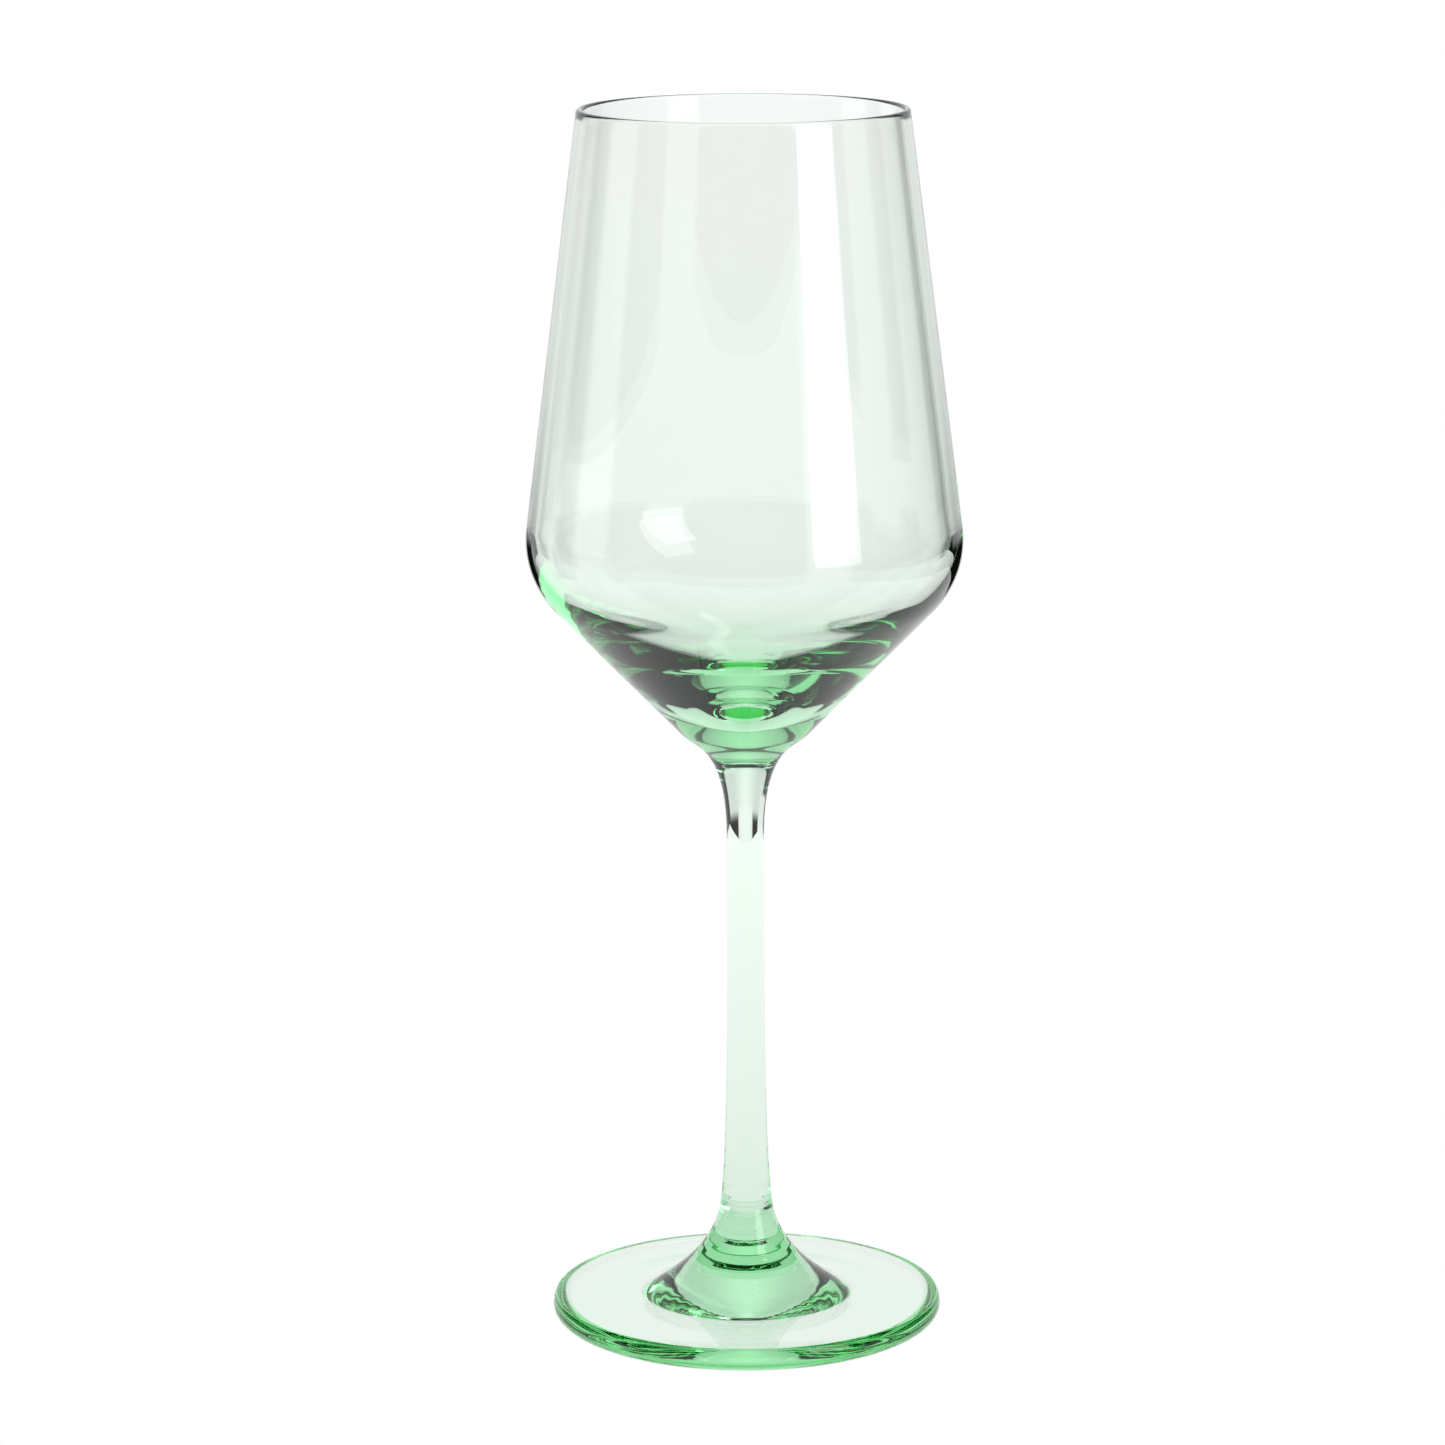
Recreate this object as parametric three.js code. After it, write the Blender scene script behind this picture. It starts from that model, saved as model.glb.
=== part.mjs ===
// A stemmed wine glass: a blown bowl, a drawn stem and a pressed foot, fused together hot.
// Millimetres, +Z up. The origin is on the table, at the centre of the foot.
import * as THREE from 'three';

// Foot
const footRadius = 37.2;
const footEdgeTop = 4.9; // height of the edge's upper corner
const footEdgeMiddle = 2.7; // height of the widest line
const footCornerInset = 1; // from the widest line in to the upper corner
const footBevel = 3.9; // from the widest line in to the ring that it rests on
const restRingWidth = 4;
const hollowDepth = 0.8; // rise of the underside at its centre
const riseRadius = 21; // where the flat top of the foot turns up
const riseStart = 5.3; // height of the top there
const footJointRadius = 4.9;
const footHeight = 23; // table to the joint with the stem

// Stem
const stemLength = 86.9;
const waistRadius = 3.55;
const waistBottom = 51; // above the foot joint
const flareLength = 15.6; // from the waist up to the bowl joint
const bowlJointRadius = 6.8;

// Bowl, with heights above its joint with the stem
const bowlHeight = 122.1;
const rimRadius = 30.9;
const rimWall = 1.3;
const bellyRadius = 41;
const bellyWall = 2.1;
const bellyHeight = 41.6;
const shoulderRadius = 18; // arc between the wall and the cone, outside
const innerBellyHeight = 42.5;
const innerShoulderRadius = 15;
const neckRadius = 12.2; // where the cone starts to round into the stem
const neckHeight = 4.8;
const floorHeight = 11; // lowest point inside the bowl

// How far each outline leans from plumb where two pieces meet, in degrees, outward going down
const footJointLean = 6;
const bowlJointLean = -34.8;
const riseLean = 88;
const innerLean = 35.5; // where the inner shoulder gives way to the slope inside the bowl

// How far a curve keeps each end's lean before it turns
const collarPull = 10;
const risePull = 4;
const taperPull = 9;
const longTaperPull = 28;
const waistPull = 8.5;
const flarePull = 3.2;
const neckPull = 3.1;
const conePull = 2;
const slopePull = 6.3;
const floorPull = 9;

const wideSides = 64;
const stemSides = 32;
const curveSteps = 8;

const bowlJointHeight = footHeight + stemLength;

// A point of an outline, and the direction of travel down an outline with a given lean
const point = (radius, height) => new THREE.Vector2(radius, height);
const downward = (degrees) => {
  const lean = THREE.MathUtils.degToRad(degrees);
  return new THREE.Vector2(Math.sin(lean), -Math.cos(lean));
};

// A curve that leaves one point and reaches the next with set leans, going up the outline
function climb(path, from, fromLean, fromPull, to, toLean, toPull) {
  const first = from.clone().addScaledVector(downward(fromLean), -fromPull);
  const second = to.clone().addScaledVector(downward(toLean), toPull);
  path.bezierCurveTo(first.x, first.y, second.x, second.y, to.x, to.y);
}

// The angle of the outward normal of the line that touches the outer side of two circles
function tangentAngle(lower, upper) {
  const gap = point(upper.x - lower.x, upper.y - lower.y);
  return Math.atan2(gap.y, gap.x) - Math.acos((lower.radius - upper.radius) / gap.length());
}

const circle = (radius, height, size) => ({ x: radius, y: height, radius: size });

function coneLean(neck, shoulder) {
  return THREE.MathUtils.radToDeg(tangentAngle(neck, shoulder));
}

function bowlOutline() {
  const level = (height) => bowlJointHeight + height;
  const rimRound = rimWall / 2;
  const rimHeight = level(bowlHeight) - rimRound;
  const neck = circle(neckRadius, level(neckHeight), 0);
  const shoulder = circle(bellyRadius - shoulderRadius, level(bellyHeight), shoulderRadius);
  const rimOutside = circle(rimRadius, rimHeight, 0);
  const rimInside = circle(rimRadius - rimWall, rimHeight, 0);
  const innerCentre = bellyRadius - bellyWall - innerShoulderRadius;
  const innerShoulder = circle(innerCentre, level(innerBellyHeight), innerShoulderRadius);

  const path = new THREE.Path();
  path.moveTo(0, bowlJointHeight);
  path.lineTo(bowlJointRadius, bowlJointHeight);
  climb(
    path,
    point(bowlJointRadius, bowlJointHeight), bowlJointLean, neckPull,
    point(neck.x, neck.y), coneLean(neck, shoulder), conePull,
  );
  const outside = tangentAngle(shoulder, rimOutside);
  path.absarc(shoulder.x, shoulder.y, shoulder.radius, tangentAngle(neck, shoulder), outside);
  path.lineTo(rimOutside.x, rimOutside.y);
  path.absarc(rimRadius - rimRound, rimHeight, rimRound, 0, Math.PI);
  const inside = tangentAngle(innerShoulder, rimInside);
  const slopeStart = -THREE.MathUtils.degToRad(innerLean);
  path.absarc(innerShoulder.x, innerShoulder.y, innerShoulder.radius, inside, slopeStart, true);
  const slope = path.currentPoint.clone().addScaledVector(downward(-innerLean), slopePull);
  path.bezierCurveTo(slope.x, slope.y, floorPull, level(floorHeight), 0, level(floorHeight));
  return path;
}

function stemOutline() {
  const path = new THREE.Path();
  const foot = point(footJointRadius, footHeight);
  const waistLow = point(waistRadius, footHeight + waistBottom);
  const waistHigh = point(waistRadius, bowlJointHeight - flareLength);
  path.moveTo(0, footHeight);
  path.lineTo(foot.x, foot.y);
  climb(path, foot, footJointLean, taperPull, waistLow, 0, longTaperPull);
  path.lineTo(waistHigh.x, waistHigh.y);
  climb(
    path,
    waistHigh, 0, waistPull,
    point(bowlJointRadius, bowlJointHeight), bowlJointLean, flarePull,
  );
  path.lineTo(0, bowlJointHeight);
  return path;
}

function footOutline() {
  const ring = footRadius - footBevel;
  const path = new THREE.Path();
  path.moveTo(0, hollowDepth);
  path.quadraticCurveTo((ring - restRingWidth) / 2, hollowDepth, ring - restRingWidth, 0);
  path.lineTo(ring, 0);
  path.absellipse(ring, footEdgeMiddle, footBevel, footEdgeMiddle, -Math.PI / 2, 0);
  const corner = footRadius - footCornerInset;
  path.absellipse(corner, footEdgeMiddle, footCornerInset, footEdgeTop - footEdgeMiddle, 0, Math.PI / 2);
  path.lineTo(riseRadius, riseStart);
  climb(
    path,
    point(riseRadius, riseStart), riseLean, risePull,
    point(footJointRadius, footHeight), footJointLean, collarPull,
  );
  path.lineTo(0, footHeight);
  return path;
}

// Turns an outline about the axis into a closed solid
function turned(name, outline, sides, material) {
  const geometry = new THREE.LatheGeometry(outline.getPoints(curveSteps), sides);
  geometry.rotateX(Math.PI / 2);
  const mesh = new THREE.Mesh(geometry, material);
  mesh.name = name;
  return mesh;
}

const mintGlass = () => new THREE.MeshStandardMaterial({
  color: '#dcefe0', roughness: 0.02, metalness: 0, transparent: true, opacity: 0.45,
});

const wineGlass = new THREE.Group();
wineGlass.add(turned('bowl', bowlOutline(), wideSides, mintGlass()));
wineGlass.add(turned('stem', stemOutline(), stemSides, mintGlass()));
wineGlass.add(turned('foot', footOutline(), wideSides, mintGlass()));

export default wineGlass;
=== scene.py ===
import math

import bmesh
import bpy
from mathutils import Matrix, Vector
from mathutils.geometry import interpolate_bezier


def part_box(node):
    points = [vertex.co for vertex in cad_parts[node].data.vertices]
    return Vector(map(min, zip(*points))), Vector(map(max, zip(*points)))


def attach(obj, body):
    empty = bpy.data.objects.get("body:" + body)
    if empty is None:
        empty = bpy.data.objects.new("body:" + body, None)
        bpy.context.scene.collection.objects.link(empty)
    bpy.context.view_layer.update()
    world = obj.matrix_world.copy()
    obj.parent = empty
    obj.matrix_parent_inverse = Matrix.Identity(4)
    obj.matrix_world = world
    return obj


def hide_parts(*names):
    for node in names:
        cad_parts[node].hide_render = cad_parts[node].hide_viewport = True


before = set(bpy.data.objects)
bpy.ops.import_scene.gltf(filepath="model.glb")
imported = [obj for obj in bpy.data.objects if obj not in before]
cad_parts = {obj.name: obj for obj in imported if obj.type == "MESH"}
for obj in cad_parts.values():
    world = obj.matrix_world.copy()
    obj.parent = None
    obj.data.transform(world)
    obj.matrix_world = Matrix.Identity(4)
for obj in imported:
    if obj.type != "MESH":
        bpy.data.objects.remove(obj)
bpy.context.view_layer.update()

mm = 0.001
scene = bpy.context.scene


# Camera: a long lens a little above the rim, as glassware is usually shown

viewpoint = {
    "distance": 968.7,  # mm in front of the glass's axis
    "height": 319.9,  # mm above the table
    "sideways": -4.25,  # mm, sets the glass a little right of the middle
    "pitch": 11.86,  # degrees down
    "roll": -0.22,
    "lens": 130.85,  # mm, on a 36 mm wide sensor
}


def placeCamera(v):
    data = bpy.data.cameras.new("studio camera")
    data.sensor_width = 36
    data.lens = v["lens"]
    data.clip_start = 0.05
    camera = bpy.data.objects.new("studio camera", data)
    scene.collection.objects.link(camera)
    place = Matrix.Translation(Vector((v["sideways"], -v["distance"], v["height"])) * mm)
    tilt = Matrix.Rotation(math.radians(90 - v["pitch"]), 4, "X")
    camera.matrix_world = place @ tilt @ Matrix.Rotation(math.radians(v["roll"]), 4, "Z")
    scene.camera = camera


placeCamera(viewpoint)
print("camera placed")


# Node and colour helpers

def linear(code, alpha=1.0):
    parts = [int(code[i:i + 2], 16) / 255 for i in (1, 3, 5)]
    return [c / 12.92 if c <= 0.04045 else ((c + 0.055) / 1.055) ** 2.4 for c in parts] + [alpha]


def addNode(tree, kind, sockets=None, **settings):
    node = tree.nodes.new(kind)
    for name, value in settings.items():
        setattr(node, name, value)
    for name, value in (sockets or {}).items():
        if isinstance(value, bpy.types.NodeSocket):
            tree.links.new(value, node.inputs[name])
        else:
            node.inputs[name].default_value = value
    return node


# Outline helpers. An outline is half of a section: points of (radius, height) in mm

def downward(degrees):
    lean = math.radians(degrees)
    return Vector((math.sin(lean), -math.cos(lean)))


def lineTo(outline, end, step=1.5):
    start = outline[-1].copy()
    count = max(1, round((Vector(end) - start).length / step))
    outline += [start.lerp(Vector(end), i / count) for i in range(1, count + 1)]


def arcAbout(outline, centre, size, start, end, count=24):
    wide, tall = size if isinstance(size, tuple) else (size, size)
    for i in range(count + 1):
        angle = start + (end - start) * i / count
        outline.append(Vector((centre[0] + wide * math.cos(angle), centre[1] + tall * math.sin(angle))))


def curveTo(outline, first, second, end, count=32):
    knots = [Vector(p).to_3d() for p in (outline[-1], first, second, end)]
    outline += [p.to_2d() for p in interpolate_bezier(*knots, count + 1)[1:]]


def climbTo(outline, lean, pull, end, endLean, endPull, count=32):
    first = outline[-1] - downward(lean) * pull
    curveTo(outline, first, Vector(end) + downward(endLean) * endPull, end, count)


# A circle is (radius, height, size)
def onCircle(circle, angle):
    return circle[0] + circle[2] * math.cos(angle), circle[1] + circle[2] * math.sin(angle)


def tangentAngle(lower, upper):  # normal of the line that touches both circles
    gap = Vector((upper[0] - lower[0], upper[1] - lower[1]))
    return math.atan2(gap.y, gap.x) - math.acos((lower[2] - upper[2]) / gap.length)


# The outline is turned once round the axis. Faces at a joint get the attribute "fused",
# where the glass runs on into the next piece without a surface
def turned(name, outline, steps, joints):
    bm = bmesh.new()
    verts = [bm.verts.new((p.x * mm, 0, p.y * mm)) for p in outline]
    for a, b in zip(verts, verts[1:]):
        bm.edges.new((a, b))
    bmesh.ops.spin(bm, geom=bm.verts[:] + bm.edges[:], cent=(0, 0, 0), axis=(0, 0, 1),
                   angle=math.tau, steps=steps, use_merge=True)
    bmesh.ops.remove_doubles(bm, verts=bm.verts[:], dist=0.0005 * mm)
    bmesh.ops.recalc_face_normals(bm, faces=bm.faces[:])
    fused = bm.faces.layers.float.new("fused")
    for face in bm.faces:
        face.smooth = True
        heights = [v.co.z / mm for v in face.verts]
        face[fused] = any(max(abs(h - joint) for h in heights) < 0.001 for joint in joints)
    for edge in bm.edges:
        if len({face[fused] for face in edge.link_faces}) > 1:
            edge.smooth = False
    mesh = bpy.data.meshes.new(name)
    bm.to_mesh(mesh)
    bm.free()
    piece = bpy.data.objects.new(name, mesh)
    scene.collection.objects.link(piece)
    print(name, "turned,", len(mesh.polygons), "faces")
    return piece


def place(piece, node, slotName, material):
    piece.data.materials.append(material)
    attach(piece, "root")
    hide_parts(node)


# Mint soda-lime glass, tinted in the melt: clear like water where it is thin, deep green
# where light runs along inside it. The tint is all in the volume, so it follows thickness

mint = {
    "ior": 1.52,
    "taken": "#00f180",  # what is left of red, green and blue, on the scale of density
    "density": 20.0,  # share taken per metre
    "waveSize": 9.0,  # mm between the slow waves that blowing leaves
    "waveHeight": 0.004,  # mm
}


def mintGlass(name, wave=1.0, rings=None):
    material = bpy.data.materials.new(name)
    material.use_nodes = True
    tree = material.node_tree
    tree.nodes.clear()
    spot = addNode(tree, "ShaderNodeTexCoord").outputs["Object"]
    slow = addNode(tree, "ShaderNodeTexNoise", {
        "Vector": spot, "Scale": 1 / (mint["waveSize"] * mm), "Detail": 1.0, "Roughness": 0.4,
    })
    bump = addNode(tree, "ShaderNodeBump", {
        "Height": slow.outputs["Fac"], "Strength": 1.0, "Distance": mint["waveHeight"] * mm * wave,
    })
    if rings:
        lathe = addNode(tree, "ShaderNodeTexWave", {
            "Vector": spot, "Scale": math.tau / (20 * rings["spacing"] * mm),
            "Distortion": rings["wander"], "Detail": 1.0, "Detail Scale": 2.0,
        }, wave_type="BANDS", bands_direction="Z", wave_profile="SIN")
        level = addNode(tree, "ShaderNodeSeparateXYZ", {"Vector": spot}).outputs["Z"]
        above = addNode(tree, "ShaderNodeMapRange", {
            "Value": level, "From Min": rings["above"] * mm, "From Max": (rings["above"] + 3) * mm,
        }, interpolation_type="SMOOTHSTEP").outputs["Result"]
        bump = addNode(tree, "ShaderNodeBump", {
            "Height": lathe.outputs["Fac"], "Strength": above, "Distance": rings["height"] * mm,
            "Normal": bump.outputs["Normal"],
        })
    fused = addNode(tree, "ShaderNodeAttribute", attribute_name="fused")
    bend = addNode(tree, "ShaderNodeMapRange", {
        "Value": fused.outputs["Fac"], "To Min": mint["ior"], "To Max": 1.0,
    })
    surface = addNode(tree, "ShaderNodeBsdfPrincipled", {
        "Base Color": [1, 1, 1, 1], "Roughness": 0.0, "Transmission Weight": 1.0,
        "IOR": bend.outputs["Result"], "Normal": bump.outputs["Normal"],
    })
    tint = addNode(tree, "ShaderNodeVolumeAbsorption", {
        "Color": linear(mint["taken"]), "Density": mint["density"],
    })
    addNode(tree, "ShaderNodeOutputMaterial", {
        "Surface": surface.outputs["BSDF"], "Volume": tint.outputs["Volume"],
    })
    return material


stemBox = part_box("stem")
footTop, bowlBottom = stemBox[0][2] / mm, stemBox[1][2] / mm
bowlBox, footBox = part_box("bowl"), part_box("foot")


# Bowl, heights above its joint with the stem

bowl = {
    "rimRadius": 30.9,
    "rimWall": 1.3,
    "bellyRadius": bowlBox[1][0] / mm,
    "bellyWall": 2.1,
    "bellyHeight": 41.6,
    "shoulderRadius": 18.0,
    "innerBellyHeight": 42.5,
    "innerShoulderRadius": 15.0,
    "innerLean": 35.5,  # where the inner shoulder gives way to the slope
    "neckRadius": 12.2,
    "neckHeight": 4.8,
    "jointRadius": 6.8,
    "jointLean": -34.8,
    "floorHeight": 11.0,  # lowest point inside
    "slopePull": 6.3,  # pulls in mm set how far a curve keeps its first direction
    "floorPull": 9.0,
    "neckPull": 3.1,
    "conePull": 2.0,
    "steps": 256,
}


def bowlOutline(b):
    level = lambda height: bowlBottom + height
    rimRound = b["rimWall"] / 2
    rimHeight = bowlBox[1][2] / mm - rimRound
    neck = (b["neckRadius"], level(b["neckHeight"]), 0)
    shoulder = (b["bellyRadius"] - b["shoulderRadius"], level(b["bellyHeight"]), b["shoulderRadius"])
    innerCentre = b["bellyRadius"] - b["bellyWall"] - b["innerShoulderRadius"]
    inner = (innerCentre, level(b["innerBellyHeight"]), b["innerShoulderRadius"])
    cone, outside = tangentAngle(neck, shoulder), tangentAngle(shoulder, (b["rimRadius"], rimHeight, 0))
    inside = tangentAngle(inner, (b["rimRadius"] - b["rimWall"], rimHeight, 0))

    outline = [Vector((0, bowlBottom)), Vector((b["jointRadius"], bowlBottom))]
    climbTo(outline, b["jointLean"], b["neckPull"], neck[:2], math.degrees(cone), b["conePull"], 16)
    lineTo(outline, onCircle(shoulder, cone))
    arcAbout(outline, shoulder, shoulder[2], cone, outside, 36)
    lineTo(outline, (b["rimRadius"], rimHeight))
    arcAbout(outline, (b["rimRadius"] - rimRound, rimHeight), rimRound, 0, math.pi, 16)
    lineTo(outline, onCircle(inner, inside))
    arcAbout(outline, inner, inner[2], inside, -math.radians(b["innerLean"]), 36)
    curveTo(outline, outline[-1] + downward(-b["innerLean"]) * b["slopePull"],
            (b["floorPull"], level(b["floorHeight"])), (0, level(b["floorHeight"])), 64)
    return outline


place(turned("blownBowl", bowlOutline(bowl), bowl["steps"], [bowlBottom]), "bowl", "bowl_glass",
      mintGlass("blown mint glass"))


# Stem, drawn out of the bowl's own glass, so it is smooth and thinnest in its upper half

stem = {
    "footJointRadius": 4.9,
    "footJointLean": 6.0,
    "waistRadius": 3.55,
    "waistBottom": 51.0,  # above the foot
    "flareLength": 15.6,  # below the bowl
    "taperPull": 9.0,
    "longTaperPull": 28.0,
    "waistPull": 8.5,
    "flarePull": 3.2,
    "bowlJointRadius": 6.8,
    "bowlJointLean": -34.8,
    "jointGap": 0.01,  # mm, keeps the two faces of a joint apart, so light meets them in turn
    "steps": 96,
}


def stemOutline(s):
    bottom, top = footTop + s["jointGap"], bowlBottom - s["jointGap"]
    outline = [Vector((0, bottom)), Vector((s["footJointRadius"], bottom))]
    waist = (s["waistRadius"], footTop + s["waistBottom"])
    climbTo(outline, s["footJointLean"], s["taperPull"], waist, 0, s["longTaperPull"], 36)
    lineTo(outline, (s["waistRadius"], bowlBottom - s["flareLength"]))
    flareTop = (s["bowlJointRadius"], top)
    climbTo(outline, 0, s["waistPull"], flareTop, s["bowlJointLean"], s["flarePull"], 28)
    return outline + [Vector((0, top))]


stemEnds = [footTop + stem["jointGap"], bowlBottom - stem["jointGap"]]
place(turned("drawnStem", stemOutline(stem), stem["steps"], stemEnds), "stem", "stem_glass",
      mintGlass("drawn mint glass", wave=0.5))


# Foot, pressed flat while soft, with a rise that keeps the turning marks of the tool

foot = {
    "radius": footBox[1][0] / mm,
    "edgeTop": 4.9,  # height of the edge's upper corner
    "edgeMiddle": 2.7,  # height of the widest line
    "cornerInset": 1.0,
    "bevel": 3.9,  # from the widest line in to the ring that it rests on
    "restRingWidth": 4.0,
    "hollowDepth": 0.8,
    "riseRadius": 21.0,
    "riseStart": 5.3,
    "riseLean": 88.0,
    "jointRadius": 4.9,
    "jointLean": 6.0,
    "risePull": 4.0,
    "collarPull": 10.0,
    "steps": 384,
}


def footOutline(f):
    ring, middle = f["radius"] - f["bevel"], f["edgeMiddle"]
    hollow, restInside = f["hollowDepth"], ring - f["restRingWidth"]
    outline = [Vector((0, hollow))]
    curveTo(outline, (restInside / 3, hollow), (restInside * 2 / 3, hollow * 2 / 3), (restInside, 0), 28)
    lineTo(outline, (ring, 0))
    arcAbout(outline, (ring, middle), (f["bevel"], middle), -math.pi / 2, 0, 36)
    corner = f["radius"] - f["cornerInset"]
    arcAbout(outline, (corner, middle), (f["cornerInset"], f["edgeTop"] - middle), 0, math.pi / 2, 28)
    lineTo(outline, (f["riseRadius"], f["riseStart"]))
    collar = (f["jointRadius"], footTop)
    climbTo(outline, f["riseLean"], f["risePull"], collar, f["jointLean"], f["collarPull"], 48)
    return outline + [Vector((0, footTop))]


place(turned("pressedFoot", footOutline(foot), foot["steps"], [footTop]), "foot", "foot_glass",
      mintGlass("pressed mint glass", rings={"spacing": 1.3, "height": 0.015, "wander": 0.6, "above": 5.2}))


# Studio: a white table that glows as a light table, its glow dimmed under the glass as painted
# shade, a lit backdrop that fades to its sides, side panels, one upright softbox at the front right
# and dark cards between them, which draw the dark lines in the glass. The camera itself sees table
# and surroundings as white; only the glass shows what stands round it

studio = {
    "tableSize": 800,  # mm
    "tableDrop": 0.1,  # mm under the foot
    "shadedGlowUnderGlass": 0.88,  # glow under the glass, dimmed there as painted shade
    "tableFar": 1.03,  # and at the table's edge
    "nearEnds": 50,  # mm from the axis
    "farStarts": 400,
    "cards": 0.006,
    "fadeAcross": 22.0,  # degrees from the middle, over which a panel dims by its fade
    "panelEdge": 2.0,  # degrees of softness
    # bearings in degrees round the glass from straight behind it, towards its right
    "panels": [
        {"bearing": (-40, 40), "height": (-8, 60), "level": 1.03, "fade": 0.25},  # backdrop
        {"bearing": (-15, 15), "height": (-90, -4), "level": 1.03, "fade": 0.1},  # sweep below it
        {"bearing": (-60, -30), "height": (-42, 2), "level": 0.9, "fade": 0},
        {"bearing": (-102, -78), "height": (-30, 6), "level": 0.9, "fade": 0},
        {"bearing": (123, 147), "height": (-30, 6), "level": 0.9, "fade": 0},
    ],
    "softbox": {"bearing": 131, "distance": 1400, "width": 640, "low": 100, "high": 1750, "level": 3.0},
}


def between(tree, value, low, high, edge):
    rising = addNode(tree, "ShaderNodeMapRange", {
        "Value": value, "From Min": low - edge, "From Max": low + edge,
    }, interpolation_type="SMOOTHSTEP")
    falling = addNode(tree, "ShaderNodeMapRange", {
        "Value": value, "From Min": high - edge, "From Max": high + edge, "To Min": 1.0, "To Max": 0.0,
    }, interpolation_type="SMOOTHSTEP")
    return addNode(tree, "ShaderNodeMath", {
        0: rising.outputs["Result"], 1: falling.outputs["Result"],
    }, operation="MULTIPLY").outputs["Value"]


def bearingOf(tree, direction):
    parts = addNode(tree, "ShaderNodeSeparateXYZ", {"Vector": direction})
    turn = addNode(tree, "ShaderNodeMath", {0: parts.outputs["X"], 1: parts.outputs["Y"]},
                   operation="ARCTAN2")
    return parts, addNode(tree, "ShaderNodeMath", {0: turn.outputs["Value"]},
                          operation="DEGREES").outputs["Value"]


def brightest(tree, levels):
    top = levels[0]
    for level in levels[1:]:
        top = addNode(tree, "ShaderNodeMath", {0: top, 1: level}, operation="MAXIMUM").outputs["Value"]
    return top


def layTable(s):
    bm = bmesh.new()
    bmesh.ops.create_grid(bm, x_segments=1, y_segments=1, size=s["tableSize"] * mm / 2)
    bmesh.ops.translate(bm, vec=(0, 0, -s["tableDrop"] * mm), verts=bm.verts[:])
    mesh = bpy.data.meshes.new("glowing table top")
    bm.to_mesh(mesh)
    bm.free()
    table = bpy.data.objects.new("glowing table top", mesh)
    scene.collection.objects.link(table)
    material = bpy.data.materials.new("glowing white acrylic with painted shade")
    material.use_nodes = True
    tree = material.node_tree
    tree.nodes.clear()
    spot = addNode(tree, "ShaderNodeTexCoord").outputs["Object"]
    # The table glows rather than being lit: painted shade under the glass, its glow dimmest near the axis
    # and rising towards the table's edge; the camera still sees it white
    away = addNode(tree, "ShaderNodeVectorMath", {0: spot}, operation="LENGTH").outputs["Value"]
    level = addNode(tree, "ShaderNodeMapRange", {
        "Value": away, "From Min": s["nearEnds"] * mm, "From Max": s["farStarts"] * mm,
        "To Min": s["shadedGlowUnderGlass"], "To Max": s["tableFar"],
    }).outputs["Result"]
    seen = addNode(tree, "ShaderNodeLightPath").outputs["Is Camera Ray"]
    light = addNode(tree, "ShaderNodeEmission", {
        "Color": linear("#ffffff"), "Strength": brightest(tree, [level, seen]),
    })
    addNode(tree, "ShaderNodeOutputMaterial", {"Surface": light.outputs["Emission"]})
    mesh.materials.append(material)


def hangPanels(s):
    world = bpy.data.worlds.new("studio")
    scene.world = world
    world.use_nodes = True
    tree = world.node_tree
    tree.nodes.clear()
    direction = addNode(tree, "ShaderNodeTexCoord").outputs["Generated"]
    parts, bearing = bearingOf(tree, direction)
    tilt = addNode(tree, "ShaderNodeMath", {0: parts.outputs["Z"]}, operation="ARCSINE")
    height = addNode(tree, "ShaderNodeMath", {0: tilt.outputs["Value"]},
                     operation="DEGREES").outputs["Value"]
    aside = addNode(tree, "ShaderNodeMath", {0: bearing}, operation="ABSOLUTE").outputs["Value"]
    levels = [addNode(tree, "ShaderNodeLightPath").outputs["Is Camera Ray"]]
    for panel in s["panels"]:
        fade = addNode(tree, "ShaderNodeMapRange", {
            "Value": aside, "From Min": 0.0, "From Max": s["fadeAcross"],
            "To Min": panel["level"], "To Max": panel["level"] - panel["fade"],
        }, interpolation_type="SMOOTHSTEP").outputs["Result"]
        across = between(tree, bearing, *panel["bearing"], s["panelEdge"])
        upright = between(tree, height, *panel["height"], s["panelEdge"])
        shape = addNode(tree, "ShaderNodeMath", {0: across, 1: upright}, operation="MULTIPLY")
        levels.append(addNode(tree, "ShaderNodeMath", {0: shape.outputs["Value"], 1: fade},
                              operation="MULTIPLY").outputs["Value"])
    cards = addNode(tree, "ShaderNodeMath", {0: brightest(tree, levels), 1: s["cards"]},
                    operation="MAXIMUM")
    sky = addNode(tree, "ShaderNodeBackground", {
        "Color": linear("#ffffff"), "Strength": cards.outputs["Value"],
    })
    addNode(tree, "ShaderNodeOutputWorld", {"Surface": sky.outputs["Background"]})


def standSoftbox(b):
    data = bpy.data.lights.new("front right softbox", "AREA")
    data.shape = "RECTANGLE"
    data.size, data.size_y = b["width"] * mm, (b["high"] - b["low"]) * mm
    data.energy = b["level"] * math.pi * data.size * data.size_y
    box = bpy.data.objects.new(data.name, data)
    scene.collection.objects.link(box)
    around = math.radians(b["bearing"])
    out = Vector((math.sin(around), math.cos(around), 0)) * b["distance"]
    middle = Vector((0, 0, (b["low"] + b["high"]) / 2))
    turn = Matrix.Rotation(-around, 4, "Z") @ Matrix.Rotation(math.radians(-90), 4, "X")
    box.matrix_world = Matrix.Translation((out + middle) * mm) @ turn
    box.visible_camera = False


layTable(studio)
hangPanels(studio)
standSoftbox(studio["softbox"])
scene.view_settings.view_transform = "Standard"
scene.cycles.max_bounces = 48
scene.cycles.transmission_bounces = 48
scene.cycles.glossy_bounces = 48
print("studio lit")
